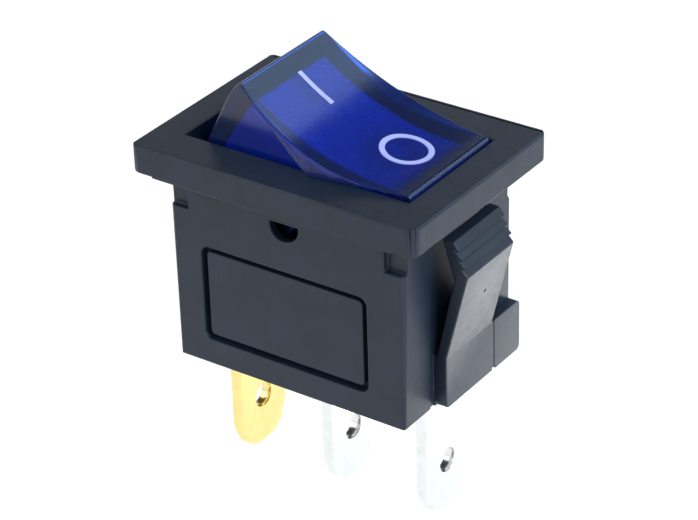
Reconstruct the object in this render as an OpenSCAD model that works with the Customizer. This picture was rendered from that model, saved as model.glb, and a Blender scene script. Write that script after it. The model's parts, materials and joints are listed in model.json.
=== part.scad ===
// Miniature illuminated rocker switch that snaps into a panel, in millimetres.
// The origin is the middle of the panel seat, which is the underside of the bezel.
// +X runs along the bezel towards the end that is pressed for off, +Z points out of the panel.
// Everything is drawn in the off position: the rocker's +X end is down and the contact is open.

/* [Bezel] */
// Length of the bezel along X
bezel_l = 21; // [20.6:0.1:22]
// Width of the bezel along Y
bezel_w = 15; // [14.6:0.1:16]
// Thickness of the bezel above the panel
bezel_t = 1.95; // [1.8:0.05:2.1]
// Radius of the bezel's four upright corners
bezel_corner = 0.7; // [0.4:0.1:1.2]
// Chamfer round the top edge of the bezel
bezel_chamfer = 0.15; // [0.1:0.05:0.3]

/* [Body] */
// Length of the body just under the bezel
body_l = 17.64; // [17.4:0.02:17.8]
// Length of the body at its bottom, a little less for moulding draft
body_foot_l = 17.2; // [17:0.05:17.4]
// Width of the body along Y
body_w = 12.1; // [11.9:0.05:12.4]
// Depth of the body below the panel seat
body_h = 13.3; // [13:0.1:14]
// Thickness of the body's floor
floor_t = 2; // [1.6:0.1:2.2]
// Length of the opening that the rocker sits in
opening_l = 16.64; // [16.6:0.02:16.8]
// Width of the opening that the rocker sits in
opening_w = 9.36; // [9.3:0.02:9.5]

/* [Snap clips] */
// Width of each clip along Y
clip_w = 5.3; // [4.8:0.1:5.6]
// Reach of the clip's widest edge from the middle of the switch
clip_reach = 11.05; // [10.8:0.05:11.3]
// Number of ribs on the clip's shoulder
clip_ribs = 4; // [3:1:5]
// Thickness of the clip's sprung leaf
clip_leaf = 1; // [0.8:0.1:1.2]
// Reach of the foot block under the clip from the middle of the switch
foot_reach = 9.45; // [9.3:0.05:9.6]

/* [Rocker] */
// Tilt of the rocker from level, on either side
rocker_tilt = 19.5; // [18.5:0.25:20]
// Half length of the rocker's top face
rocker_top_x = 6.28; // [6.2:0.02:6.34]
// Height of the top face's two end edges above the pivot
rocker_top_z = 6.12; // [6.05:0.01:6.2]
// Radius of the hollow that runs across the top face
rocker_dish_r = 17.1; // [16.8:0.1:18]
// Half width of the rocker's ends
rocker_half_w = 4.42; // [4.38:0.01:4.46]
// Half width of the rocker's top face at its middle
rocker_mid_w = 5.05; // [4.95:0.05:5.2]
// Thickness of the rocker's clear top skin
rocker_skin = 1.1; // [0.9:0.05:1.2]

/* [Terminals] */
// Distance from one terminal blade to the next
terminal_pitch = 7.25; // [7.1:0.05:7.25]
// Width of each terminal blade
terminal_w = 4.8; // [4.6:0.1:4.8]
// Thickness of each terminal blade
terminal_t = 0.8; // [0.7:0.05:0.8]
// Depth of the terminal tips below the panel seat
terminal_tip = 22.6; // [21:0.1:23.5]
// Radius of the wire hole in each terminal
terminal_hole_r = 0.85; // [0.6:0.05:0.9]

/* [Contacts] */
// Tilt of the contact bar from level, on either side
bar_tilt = 7; // [6:0.25:7.5]
// Width of the contact bar along Y
bar_w = 3.2; // [3:0.1:3.4]
// Thickness of the contact bar
bar_t = 0.4; // [0.35:0.05:0.45]
// Radius of the plunger's ball tip
ball_r = 0.8; // [0.75:0.05:0.85]

/* [Hidden] */
$fn = 64;

fit_gap = 0.05;                      // running clearance of every pivot and sliding fit, on the radius
touch_gap = 0.02;                    // gap left where two moving pieces press on each other
cut = 0.5;                           // how far a cutting shape runs past what it cuts
far = 30;                            // longer than the whole switch
fine_fn = 200;                       // segments of the large shallow curves

// Housing
end_relief = 0.05;                   // the seat's short ends stand back by this from the long sides
end_step = 0.12;                     // the opening's ends step in by this under the bezel
wall_end_x = opening_l / 2 - end_step;
end_skin = 0.3;                      // thickness of the walls behind the clips
floor_top = -(body_h - floor_t);
notch_x = 7.3;                       // the body's upright corners are notched outside this
notch_depth = 0.45;
notch_h = 2.45;
body_corner = 0.35;                  // chamfer on the body's upright corners
label_l = 12.45;
label_h = 6.75;
label_x = -0.27;
label_foot = 1.805;                  // height of the label recess above the body's bottom
label_corner = 0.6;
label_sunk = 0.12;
label_z = label_foot + label_h / 2 - body_h;
groove_w = 0.36;
groove_depth = 0.38;
pocket_end = 5.45;                   // the pivot pockets stop here, inside the long walls
window_r = 1.06;
window_top = 0.14;                   // the D-shaped windows reach this far above the pivot
boss_wall = 0.9;                     // wall of the bosses that the terminals stand in

// Clips
clip_top_x = 10.05;
clip_top_z = -1.2;
clip_wide_z = -3.4;
clip_root_z = -9.65;
clip_slot = 0.5;                     // gap on each side of a clip
leaf_root = 0.7;
foot_corner = 0.4;
seam_y = 2.87;                       // fine mould seam down the end of each foot block
seam_w = 0.08;
seam_notch_w = 0.32;
seam_notch_h = 0.2;
seam_notch_depth = 0.3;
leaf_tip = 0.8;
rib_back = 0.16;                     // each rib steps back in by this under its edge
foot_side = 5.95;                    // the foot block runs along Y to here
ramp_mark_r = 0.12;                  // small mould mark sunk in the clip's outer ramp
ramp_mark_depth = 0.06;
ramp_mark_z = -5.9;
ramp_mark_y = 0.3;

// Rocker, with heights from its pivot and before it is tilted
pivot_z = -1.5;
trunnion_r = 1.1;
trunnion_end = 5.2;
end_reach = 0.72;                    // the rocker's ends stand out past its top face by this
end_lean = 8;                        // lean of the rocker's end faces
end_crown_r = 4.5;                   // the end faces round over with this radius
end_crown_z = 4.6;                   // above this height
side_lean = 11.3;                    // lean of its bowed side lips
side_bow_r = 50;
lip_gap = 0.1;                       // the lips stay this far above the bezel
end_low_z = 1.16;                    // the end faces run down to this height
cheek_z = -2.4;                      // bottom of the side walls round the pivot
cheek_x = 3.2;
chin_x = 7.35;
chin_z = 0.2;
dish_mid_z = rocker_top_z - rocker_dish_r + sqrt(pow(rocker_dish_r, 2) - pow(rocker_top_x, 2));
dish_axis_z = dish_mid_z + rocker_dish_r;
end_x = rocker_top_x + end_reach;
end_low_x = end_x + (end_crown_z - end_low_z) * tan(end_lean);
end_top_x = end_x - (rocker_top_z - end_crown_z) * tan(end_lean);
end_wall = 1.05;
side_wall = 0.92;
cavity_half_w = rocker_half_w - side_wall;
ceiling_r = rocker_dish_r + rocker_skin;
lip_z = (bezel_t + lip_gap - pivot_z) / cos(rocker_tilt);
sleeve_r = 1.75;
sleeve_end = -3.6;
sleeve_top = 2.4;                    // roof of the plunger's bore
web_t = 0.8;                         // webs that carry the sleeve from the side walls
web_low = 1.8;
plunger_r = 1.05;
diffuser_t = 0.5;
diffuser_x = 4.9;
web_top = dish_mid_z - rocker_skin - diffuser_t - 2 * fit_gap;
mark_t = 0.05;
mark_line = 0.36;
mark_y = 0.15;
mark_on_x = -3.7;
mark_on_l = 2.8;
mark_off_x = 3.36;
mark_off_r = 1.68;

// Lamp parts that ride in the rocker
carrier_low = -0.6;
carrier_high = 0.3;
carrier_x = 5.7;
pad_t = 0.2;
pad_x = [4.6, 6.3];
pad_y = [2, 3.4];
lamp_x = -3.85;
lamp_r = 1.2;
lamp_sunk = 0.15;                    // the lamp lies this far down in its carrier
lamp_z = carrier_high + lamp_r - lamp_sunk;
lamp_y = [-2.6, 2.5];
lamp_wall = 0.25;
wire_r = 0.2;
wire_y = 3.05;
electrode_r = 0.16;
electrode_y = 0.45;
electrode_l = 3.2;
resistor_x = 3.85;
resistor_r = 0.95;
resistor_l = 3.6;
resistor_sunk = 0.1;
resistor_z = carrier_high + resistor_r - resistor_sunk;
band_t = 0.02;
band_w = 0.4;
band_pitch = 0.8;
lead_x = 5.2;                        // the leads go down through the carrier here

// Plunger, contact bar and fixed contact
ball_z = 5.2;                        // ball centre below the pivot
plunger_top = -1.6;
plunger_low = -4.6;
spigot_r = 0.4;
spigot_h = 0.6;
bar_drop = 6.95;                     // the contact bar's pivot lies this far below the rocker's
bar_pivot_z = pivot_z - bar_drop;
knife_r = 0.4;
curl_wall = 0.35;
curl_gap = 0.03;
trough_z = pivot_z - ball_z - ball_r - touch_gap - bar_pivot_z;
ball_clear = ball_r + touch_gap;
// The ball's centre seen from the contact bar with the rocker at its limit
ball_off = [ball_z * sin(rocker_tilt), pivot_z - ball_z * cos(rocker_tilt) - bar_pivot_z];
ball_seen_x = ball_off[0] * cos(bar_tilt) - ball_off[1] * sin(bar_tilt);
ball_seen_z = ball_off[0] * sin(bar_tilt) + ball_off[1] * cos(bar_tilt);
trough_rise = ball_seen_z - trough_z;
trough_r = (pow(trough_rise, 2) + pow(ball_seen_x, 2) - pow(ball_clear, 2))
           / (2 * (trough_rise - ball_clear));
rim_x = 2.05;
rim_z = trough_z + trough_r - sqrt(pow(trough_r, 2) - pow(rim_x, 2));
arm_rise = 9;
arm_end = 4.95;
contact_x = 4;
contact_r = 0.85;
contact_crown = 1.6;
contact_h = 0.5;
rivet_r = 0.4;
rivet_head_r = 0.65;
rivet_head_h = 0.2;
arm_low_z = rim_z + (contact_x - rim_x) * tan(arm_rise) - bar_t / cos(arm_rise);
// Centre of the moving contact's crown, in the bar's frame and then with the contact closed
crown_x = contact_x - (contact_crown - contact_h) * sin(arm_rise);
crown_z = arm_low_z + (contact_crown - contact_h) * cos(arm_rise);
closed_x = crown_x * cos(bar_tilt) + crown_z * sin(bar_tilt);
closed_z = bar_pivot_z - crown_x * sin(bar_tilt) + crown_z * cos(bar_tilt);
fixed_top = closed_z - contact_crown - touch_gap;
fixed_h = 0.45;
shelf_top = fixed_top - fixed_h;
seat_z = shelf_top - terminal_t;     // undersides of the terminals' shelves, which the bosses carry

// Terminals and lamp springs
common_x = 0.1;
blade_hole_z = -19.15;
slot_gap = 0.03;
tip_half = 0.95;
tip_shoulder = 0.5;
blade_shoulder = 2;
tip_waist = 0.65;
ear_t = 0.65;
ear_h = 0.5;
head_t = 0.72;
shelf_y = [0.6, 3.4];
load_shelf_y = [-1.7, 3.4];
shelf_inner = 4.3;
load_shelf_inner = 3;
spring_x = 5.2;
spring_y = 2.7;
spring_mean_r = 0.6;
spring_wire_r = 0.1;
plunger_spring_turns = 7;
left_spring_turns = 12;
right_spring_turns = 10;
peg_r = 0.42;
peg_h = 0.5;
pad_reach = spring_mean_r + spring_wire_r;

module rounded_plate(l, w, r) {
    square([l - 2 * r, w], center = true);
    square([l, w - 2 * r], center = true);
    for (sx = [-1, 1], sy = [-1, 1])
        translate([sx * (l / 2 - r), sy * (w / 2 - r)]) circle(r);
}

// Extrudes an outline drawn in X and Z along Y, from y[0] to y[1]
module across(y) {
    translate([0, y[1], 0]) rotate([90, 0, 0]) linear_extrude(y[1] - y[0]) children();
}

module at_rocker() {
    translate([0, 0, pivot_z]) rotate([0, rocker_tilt, 0]) children();
}

module at_bar() {
    translate([0, 0, bar_pivot_z]) rotate([0, -bar_tilt, 0]) children();
}

module rod_y(r, y) {
    translate([0, y[1], 0]) rotate([90, 0, 0]) cylinder(r = r, h = y[1] - y[0]);
}

module block(x, y, z) {
    translate([x[0], y[0], z[0]]) cube([x[1] - x[0], y[1] - y[0], z[1] - z[0]]);
}

// ---- housing ----

module bezel_plate() {
    difference() {
        linear_extrude(bezel_t) rounded_plate(bezel_l, bezel_w, bezel_corner);
        for (s = [-1, 1]) {
            translate([s * bezel_l / 2, 0, bezel_t]) rotate([0, 45, 0])
                cube([bezel_chamfer * sqrt(2), far, bezel_chamfer * sqrt(2)], center = true);
            translate([0, s * bezel_w / 2, bezel_t]) rotate([45, 0, 0])
                cube([far, bezel_chamfer * sqrt(2), bezel_chamfer * sqrt(2)], center = true);
            block(s > 0 ? [body_l / 2, far] : [-far, -body_l / 2], [-far, far], [-cut, end_relief]);
        }
    }
}

module foot_shape() {
    w = foot_side + clip_w / 2;
    h = clip_root_z + body_h;
    translate([foot_side - w / 2, clip_root_z - h / 2]) rounded_plate(w, h, foot_corner);
    translate([-clip_w / 2, clip_root_z - h / 2]) square([clip_w, h / 2]);
}

module body_block() {
    c = body_corner;
    intersection() {
        translate([0, 0, -body_h]) linear_extrude(body_h + end_relief)
            polygon([for (s = [[1, 1], [-1, 1], [-1, -1], [1, -1]])
                         let (x = s[0] * body_l / 2, y = s[1] * body_w / 2)
                             each s[0] * s[1] > 0
                                 ? [[x, y - s[1] * c], [x - s[0] * c, y]]
                                 : [[x - s[0] * c, y], [x, y - s[1] * c]]]);
        across([-far, far])
            polygon([[-body_foot_l / 2, -body_h], [body_foot_l / 2, -body_h],
                     [body_l / 2, end_relief], [-body_l / 2, end_relief]]);
    }
    for (s = [0, 1]) mirror([s, 0, 0]) difference() {
        translate([wall_end_x - cut, 0, 0]) rotate([90, 0, 90])
            linear_extrude(foot_reach - wall_end_x + cut) foot_shape();
        block([foot_reach - seam_w, far], [seam_y - seam_w / 2, seam_y + seam_w / 2], [-far, 0]);
        block([foot_reach - seam_notch_depth, far],
              [seam_y - seam_notch_w / 2, seam_y + seam_notch_w / 2],
              [-far, seam_notch_h - body_h]);
    }
}

// The clip's leaf stands on the foot block and carries the ribbed shoulder at its top
module clip_leaf_shape() {
    rib_x = (clip_reach - clip_top_x) / clip_ribs;
    rib_z = (clip_wide_z - clip_top_z) / clip_ribs;
    ribs = [for (i = [0:clip_ribs - 1]) each [
        [clip_top_x + i * rib_x, clip_top_z + i * rib_z],
        [clip_top_x + (i + 1) * rib_x + (i < clip_ribs - 1 ? rib_back : 0), clip_top_z + (i + 1) * rib_z]]];
    polygon(concat(ribs, [
        [foot_reach, clip_root_z],
        [foot_reach, clip_root_z - cut],
        [foot_reach - leaf_root, clip_root_z - cut],
        [foot_reach - leaf_root, clip_root_z],
        [clip_reach - clip_leaf, clip_wide_z - clip_leaf / 2],
        [clip_top_x - leaf_tip, clip_top_z]]));
}

module ramp_mark() {
    slope = atan((clip_reach - foot_reach) / (clip_wide_z - clip_root_z));
    translate([clip_reach - (clip_wide_z - ramp_mark_z) * tan(slope), ramp_mark_y, ramp_mark_z])
        rotate([0, 90 + slope, 0])
            translate([0, 0, -ramp_mark_depth]) cylinder(r = ramp_mark_r, h = cut, $fn = 32);
}

module label_recess() {
    translate([label_x, -body_w / 2, label_z]) rotate([90, 0, 0]) {
        translate([0, 0, -label_sunk])
            linear_extrude(cut) rounded_plate(label_l, label_h, label_corner);
        translate([0, 0, -groove_depth]) linear_extrude(cut) difference() {
            rounded_plate(label_l, label_h, label_corner);
            rounded_plate(label_l - 2 * groove_w, label_h - 2 * groove_w, label_corner / 2);
        }
    }
}

module pivot_pocket() {
    translate([0, 0, pivot_z]) {
        rod_y(trunnion_r + fit_gap, [-pocket_end, -opening_w / 2 + cut]);
        intersection() {
            rod_y(window_r, [-body_w, -pocket_end + cut]);
            block([-far, far], [-far, far], [-far, window_top]);
        }
    }
}

module housing() {
    color("#34383e") {
        difference() {
            union() {
                bezel_plate();
                body_block();
            }
            block([-wall_end_x, wall_end_x], [-opening_w / 2, opening_w / 2], [floor_top, bezel_t + cut]);
            block([-opening_l / 2, opening_l / 2], [-opening_w / 2, opening_w / 2], [0, bezel_t + cut]);
            for (s = [0, 1]) {
                mirror([0, s, 0]) {
                    pivot_pocket();
                    label_recess();
                    for (e = [0, 1]) mirror([e, 0, 0])
                        block([notch_x, far], [-far, notch_depth - body_w / 2], [-notch_h, 0]);
                }
                mirror([s, 0, 0]) {
                    block([wall_end_x + end_skin, far], [-clip_w / 2 - clip_slot, clip_w / 2 + clip_slot],
                          [clip_root_z, 0]);
                    block([wall_end_x + end_skin, far], [-clip_w / 2 - clip_slot, -clip_w / 2],
                          [-far, clip_root_z + cut]);
                }
            }
            terminal_slots([-body_h - cut, floor_top + cut]);
        }
        for (s = [0, 1]) mirror([s, 0, 0]) difference() {
            across([-clip_w / 2, clip_w / 2]) clip_leaf_shape();
            ramp_mark();
        }
        difference() {
            for (i = [-1:1])
                block(around(common_x + i * terminal_pitch, terminal_t / 2 + boss_wall, wall_end_x),
                      [-terminal_w / 2 - boss_wall, terminal_w / 2 + boss_wall],
                      [floor_top, seat_z - touch_gap]);
            terminal_slots([floor_top - cut, seat_z]);
        }
    }
}

// A span of half length d about x, kept inside plus and minus limit
function around(x, d, limit) = [max(x - d, -limit), min(x + d, limit)];

module terminal_slots(z) {
    for (i = [-1:1])
        block(around(common_x + i * terminal_pitch, terminal_t / 2 + slot_gap, far),
              [-terminal_w / 2 - slot_gap, terminal_w / 2 + slot_gap], z);
}

// ---- rocker ----

module rocker_outline() {
    crown_x = end_x - end_crown_r * cos(end_lean);
    crown_z = end_crown_z - end_crown_r * sin(end_lean);
    intersection() {
        polygon([[-end_top_x, rocker_top_z], [end_top_x, rocker_top_z],
                 [end_low_x, end_low_z], [chin_x, chin_z],
                 [cheek_x, cheek_z], [-cheek_x, cheek_z],
                 [-chin_x, chin_z], [-end_low_x, end_low_z]]);
        union() {
            for (s = [-1, 1])
                translate([s * crown_x, crown_z]) circle(end_crown_r, $fn = fine_fn);
            translate([-crown_x, crown_z]) square([2 * crown_x, far]);
            translate([-far, end_crown_z - far]) square([2 * far, far]);
        }
    }
}

module bowed_side() {
    translate([0, rocker_mid_w, dish_mid_z]) rotate([side_lean, 0, 0])
        translate([0, -side_bow_r, 0])
            cylinder(r = side_bow_r, h = far, center = true, $fn = fine_fn);
}

module side_lips() {
    intersection() {
        across([-far, far]) rocker_outline();
        across([-far, far])
            polygon([[0, lip_z], [far, lip_z + far * tan(rocker_tilt)],
                     [-far, lip_z + far * tan(rocker_tilt)]]);
        bowed_side();
        mirror([0, 1, 0]) bowed_side();
    }
}

module dish(r, half_w) {
    translate([0, 0, dish_axis_z]) rod_y(r, [-half_w, half_w]);
}

module rocker_cavity() {
    top_x = rocker_top_x - end_wall;
    low_x = end_low_x - end_wall;
    difference() {
        across([-cavity_half_w, cavity_half_w])
            polygon([[-top_x, rocker_top_z], [top_x, rocker_top_z],
                     [low_x, end_low_z], [low_x, cheek_z - cut],
                     [-low_x, cheek_z - cut], [-low_x, end_low_z]]);
        dish(ceiling_r, cavity_half_w + cut, $fn = fine_fn);
    }
}

module rocker_cap() {
    color("#1f36b8", 0.75) at_rocker() difference() {
        union() {
            difference() {
                union() {
                    across([-rocker_half_w, rocker_half_w]) rocker_outline();
                    side_lips();
                }
                dish(rocker_dish_r, far, $fn = fine_fn);
                rocker_cavity();
            }
            for (s = [0, 1]) mirror([0, s, 0])
                rod_y(trunnion_r, [-trunnion_end, -rocker_half_w + side_wall / 2]);
            translate([0, 0, sleeve_end]) cylinder(r = sleeve_r, h = web_top - sleeve_end);
            block([-web_t / 2, web_t / 2], [-cavity_half_w - cut, cavity_half_w + cut],
                  [web_low, web_top]);
        }
        translate([0, 0, sleeve_end - cut])
            cylinder(r = plunger_r + fit_gap, h = sleeve_top - sleeve_end + cut);
    }
}

module diffuser() {
    half_w = cavity_half_w - fit_gap;
    color("#dfe6f5", 0.6) at_rocker() difference() {
        intersection() {
            dish(ceiling_r + fit_gap + diffuser_t, half_w, $fn = fine_fn);
            block([-diffuser_x, diffuser_x], [-half_w, half_w], [0, rocker_top_z]);
        }
        dish(ceiling_r + fit_gap, half_w + cut, $fn = fine_fn);
    }
}

// A print on the dished top face, cut from a thin skin that follows it
module printed() {
    color("white") at_rocker() difference() {
        intersection() {
            dish(rocker_dish_r, rocker_half_w, $fn = fine_fn);
            linear_extrude(rocker_top_z) children();
        }
        dish(rocker_dish_r - mark_t, rocker_half_w + cut, $fn = fine_fn);
    }
}

module mark_on() {
    printed() translate([mark_on_x, mark_y]) square([mark_on_l, mark_line], center = true);
}

module mark_off() {
    printed() translate([mark_off_x, mark_y]) difference() {
        circle(mark_off_r);
        circle(mark_off_r - mark_line);
    }
}

// ---- lamp parts in the rocker ----

module at_lamp() {
    at_rocker() translate([lamp_x, 0, lamp_z]) children();
}

module at_resistor() {
    at_rocker() translate([resistor_x, 0, resistor_z]) children();
}

module lamp_carrier() {
    half_w = cavity_half_w - fit_gap;
    color("#e8e8e2") at_rocker() difference() {
        block([-carrier_x, carrier_x], [-half_w, half_w], [carrier_low, carrier_high]);
        translate([0, 0, carrier_low - cut]) cylinder(r = sleeve_r + fit_gap, h = far);
        translate([lamp_x, 0, lamp_z]) rod_y(lamp_r, [-half_w - cut, lamp_y[1]]);
        translate([resistor_x, 0, resistor_z])
            rod_y(resistor_r + band_t, [-resistor_l / 2, resistor_l / 2]);
        for (x = [-lead_x, lead_x])
            translate([x, wire_y, carrier_low - cut]) cylinder(r = wire_r + fit_gap, h = far);
    }
}

module lamp_shape(r) {
    rod_y(r, [lamp_y[0] + lamp_r, lamp_y[1] - (lamp_r - r)]);
    translate([0, lamp_y[0] + lamp_r, 0]) sphere(r);
}

module lamp_glass() {
    color("#dff6f4", 0.5) at_lamp() difference() {
        lamp_shape(lamp_r);
        lamp_shape(lamp_r - lamp_wall);
    }
}

module lamp_electrodes() {
    color("silver") at_lamp() for (s = [-1, 1])
        translate([s * electrode_y, 0, 0])
            rod_y(electrode_r, [lamp_y[1] - lamp_wall - electrode_l, lamp_y[1] - lamp_wall]);
}

module resistor() {
    color("#c9b48a") at_resistor() rod_y(resistor_r, [-resistor_l / 2, resistor_l / 2]);
}

module resistor_bands() {
    color("#7a4a2a") at_resistor() for (i = [-1:1]) difference() {
        rod_y(resistor_r + band_t, [i * band_pitch - band_w / 2, i * band_pitch + band_w / 2]);
        rod_y(resistor_r, [-resistor_l, resistor_l]);
    }
}

// Straight wire between two points in the rocker's frame, with round ends
module wire(a, b) {
    d = b - a;
    turn = atan2(d[1], d[0]);
    lean = acos(d[2] / norm(d));
    translate(a) rotate([0, lean, turn]) cylinder(r = wire_r, h = norm(d));
    for (p = [a, b]) translate(p) sphere(wire_r);
}

module bent_wire(points) {
    color("silver") at_rocker() for (i = [0:len(points) - 2]) wire(points[i], points[i + 1]);
}

module lamp_lead() {
    bent_wire([[lamp_x - electrode_y, lamp_y[1] + wire_r, lamp_z],
               [lamp_x - electrode_y, wire_y, lamp_z],
               [-lead_x, wire_y, lamp_z],
               [-lead_x, wire_y, carrier_low + wire_r]]);
}

module link_wire() {
    bent_wire([[lamp_x + electrode_y, lamp_y[1] + wire_r, lamp_z],
               [lamp_x + electrode_y, wire_y, lamp_z],
               [resistor_x, wire_y, resistor_z],
               [resistor_x, resistor_l / 2 + wire_r, resistor_z]]);
}

module resistor_lead() {
    side_y = -wire_y;
    bent_wire([[resistor_x, -resistor_l / 2 - wire_r, resistor_z],
               [resistor_x, side_y, resistor_z],
               [lead_x, side_y, resistor_z],
               [lead_x, wire_y, resistor_z],
               [lead_x, wire_y, carrier_low + wire_r]]);
}

module pad(side) {
    color("#c8a862") at_rocker() mirror([side < 0 ? 1 : 0, 0, 0])
        block(pad_x, pad_y, [carrier_low - pad_t, carrier_low]);
}

module pad_left() {
    pad(-1);
}

module pad_right() {
    pad(1);
}

// ---- plunger and contact bar ----

module plunger() {
    color("#d8d8d0") at_rocker() {
        translate([0, 0, plunger_low]) cylinder(r = plunger_r, h = plunger_top - plunger_low);
        translate([0, 0, -ball_z]) cylinder(r1 = ball_r, r2 = plunger_r, h = ball_z + plunger_low);
        translate([0, 0, -ball_z]) sphere(ball_r);
        translate([0, 0, plunger_top]) cylinder(r = spigot_r, h = spigot_h);
    }
}

// A coil spring standing on z = 0: a wire of round section swept along a helix
module coil(height, turns, mean_r, thick_r) {
    steps = 20;
    sides = 8;
    last = turns * steps;
    rise = height - 2 * thick_r;
    points = [for (i = [0:last], j = [0:sides - 1])
        let (a = 360 * i / steps, b = 360 * j / sides, r = mean_r + thick_r * cos(b))
        [r * cos(a), r * sin(a), thick_r + rise * i / last + thick_r * sin(b)]];
    faces = concat(
        [[for (j = [0:sides - 1]) j]],
        [for (i = [0:last - 1], j = [0:sides - 1])
            let (k = (j + 1) % sides, n = i * sides)
            [n + j, n + sides + j, n + sides + k, n + k]],
        [[for (j = [sides - 1:-1:0]) last * sides + j]]);
    polyhedron(points, faces);
}

module plunger_spring() {
    color("#b9bcc2") at_rocker() translate([0, 0, plunger_top])
        coil(sleeve_top - plunger_top, plunger_spring_turns, spring_mean_r + spring_wire_r, spring_wire_r);
}

module bar_arm() {
    drop = bar_t / cos(arm_rise);
    tip_z = rim_z + (arm_end - rim_x) * tan(arm_rise);
    polygon([[rim_x - bar_t, rim_z - bar_t * tan(arm_rise)], [rim_x, rim_z], [arm_end, tip_z],
             [arm_end, tip_z - drop], [rim_x, rim_z - drop],
             [rim_x - bar_t, rim_z - drop - bar_t]]);
}

module contact_bar() {
    axis_z = trough_z + trough_r;
    low_r = trough_r + bar_t;
    span = [-bar_w / 2, bar_w / 2];
    color("#c07a45") at_bar() difference() {
        union() {
            intersection() {
                translate([0, 0, axis_z]) rod_y(low_r, span, $fn = fine_fn);
                block([-rim_x, rim_x], span, [0, axis_z]);
            }
            for (s = [0, 1]) mirror([s, 0, 0]) across(span) bar_arm();
            intersection() {
                rod_y(knife_r + fit_gap + curl_wall, span);
                block([-far, far], span, [curl_gap, far]);
            }
        }
        translate([0, 0, axis_z]) rod_y(trough_r, [-bar_w, bar_w], $fn = fine_fn);
        rod_y(knife_r + fit_gap, [-bar_w, bar_w]);
        translate([contact_x, 0, 0]) cylinder(r = rivet_r + touch_gap, h = far);
    }
}

module moving_contact() {
    shank = bar_t + rivet_head_h;
    color("silver") at_bar() translate([contact_x, 0, arm_low_z]) rotate([0, -arm_rise, 0]) {
        intersection() {
            translate([0, 0, -contact_h]) cylinder(r = contact_r, h = contact_h);
            translate([0, 0, contact_crown - contact_h]) sphere(contact_crown, $fn = fine_fn);
        }
        cylinder(r = rivet_r - touch_gap, h = shank);
        translate([0, 0, bar_t]) cylinder(r = rivet_head_r, h = rivet_head_h);
    }
}

module fixed_contact() {
    color("silver") translate([closed_x, 0, shelf_top]) {
        cylinder(r = contact_r, h = fixed_h);
        translate([0, 0, -terminal_t]) cylinder(r = rivet_r, h = terminal_t);
    }
}

// ---- terminals and lamp springs ----

// One blade: tip, wire hole and the straight run up through the floor to z = top
module blade(x, top) {
    half = terminal_w / 2;
    low = -terminal_tip;
    difference() {
        translate([x - terminal_t / 2, 0, 0]) rotate([90, 0, 90]) linear_extrude(terminal_t)
            polygon([[-half, top], [-half, low + blade_shoulder], [-half + tip_waist, low + tip_shoulder],
                     [-tip_half, low], [tip_half, low], [half - tip_waist, low + tip_shoulder],
                     [half, low + blade_shoulder], [half, top]]);
        translate([x - terminal_t, 0, blade_hole_z]) rotate([0, 90, 0])
            cylinder(r = terminal_hole_r, h = 2 * terminal_t);
    }
}

module spring_seat(side) {
    translate([side * spring_x, spring_y, shelf_top]) cylinder(r = peg_r, h = peg_h);
}

module terminal_lamp() {
    x = common_x - terminal_pitch;
    color("#d9b45a") {
        blade(x, shelf_top);
        block([x - terminal_t / 2, -shelf_inner], shelf_y, [seat_z, shelf_top]);
        spring_seat(-1);
    }
}

module terminal_common() {
    half = terminal_w / 2;
    color("#d5d7da") {
        blade(common_x, seat_z);
        block([-head_t / 2, head_t / 2], [-half, half], [seat_z, bar_pivot_z]);
        translate([0, 0, bar_pivot_z]) rod_y(knife_r, [-half, half]);
        for (s = [0, 1]) mirror([0, s, 0])
            block([-head_t / 2, head_t / 2], [half - ear_t, half], [bar_pivot_z, bar_pivot_z + knife_r + ear_h]);
    }
}

module terminal_load() {
    x = common_x + terminal_pitch;
    color("#d5d7da") {
        blade(x, seat_z);
        difference() {
            block([load_shelf_inner, x + terminal_t / 2], load_shelf_y, [seat_z, shelf_top]);
            translate([closed_x, 0, shelf_top - far / 2]) cylinder(r = rivet_r, h = far);
        }
        spring_seat(1);
    }
}

// Height of a pad's underside over a point on the rocker's left (-1) or right (1) spring,
// at the side of the spring where the tilted pad hangs lowest
function pad_height(side) =
    let (x = side * spring_x + pad_reach, low = carrier_low - pad_t)
    pivot_z + low / cos(rocker_tilt) - x * tan(rocker_tilt);

module lamp_spring(side) {
    turns = side < 0 ? left_spring_turns : right_spring_turns;
    color("#b9bcc2") translate([side * spring_x, spring_y, shelf_top])
        coil(pad_height(side) - touch_gap - shelf_top, turns, spring_mean_r, spring_wire_r);
}

module lamp_spring_left() {
    lamp_spring(-1);
}

module lamp_spring_right() {
    lamp_spring(1);
}

housing();
rocker_cap();
diffuser();
mark_on();
mark_off();
lamp_carrier();
lamp_glass();
lamp_electrodes();
resistor();
resistor_bands();
lamp_lead();
link_wire();
resistor_lead();
pad_left();
pad_right();
plunger();
plunger_spring();
contact_bar();
moving_contact();
fixed_contact();
lamp_spring_left();
lamp_spring_right();
terminal_lamp();
terminal_common();
terminal_load();
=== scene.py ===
"""Looks of a miniature illuminated rocker switch, laid out as an add-on and run as a script."""

import json
import math

import bmesh
import bpy
import numpy as np
from bpy.props import FloatProperty, FloatVectorProperty, PointerProperty
from mathutils import Matrix, Vector


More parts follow.
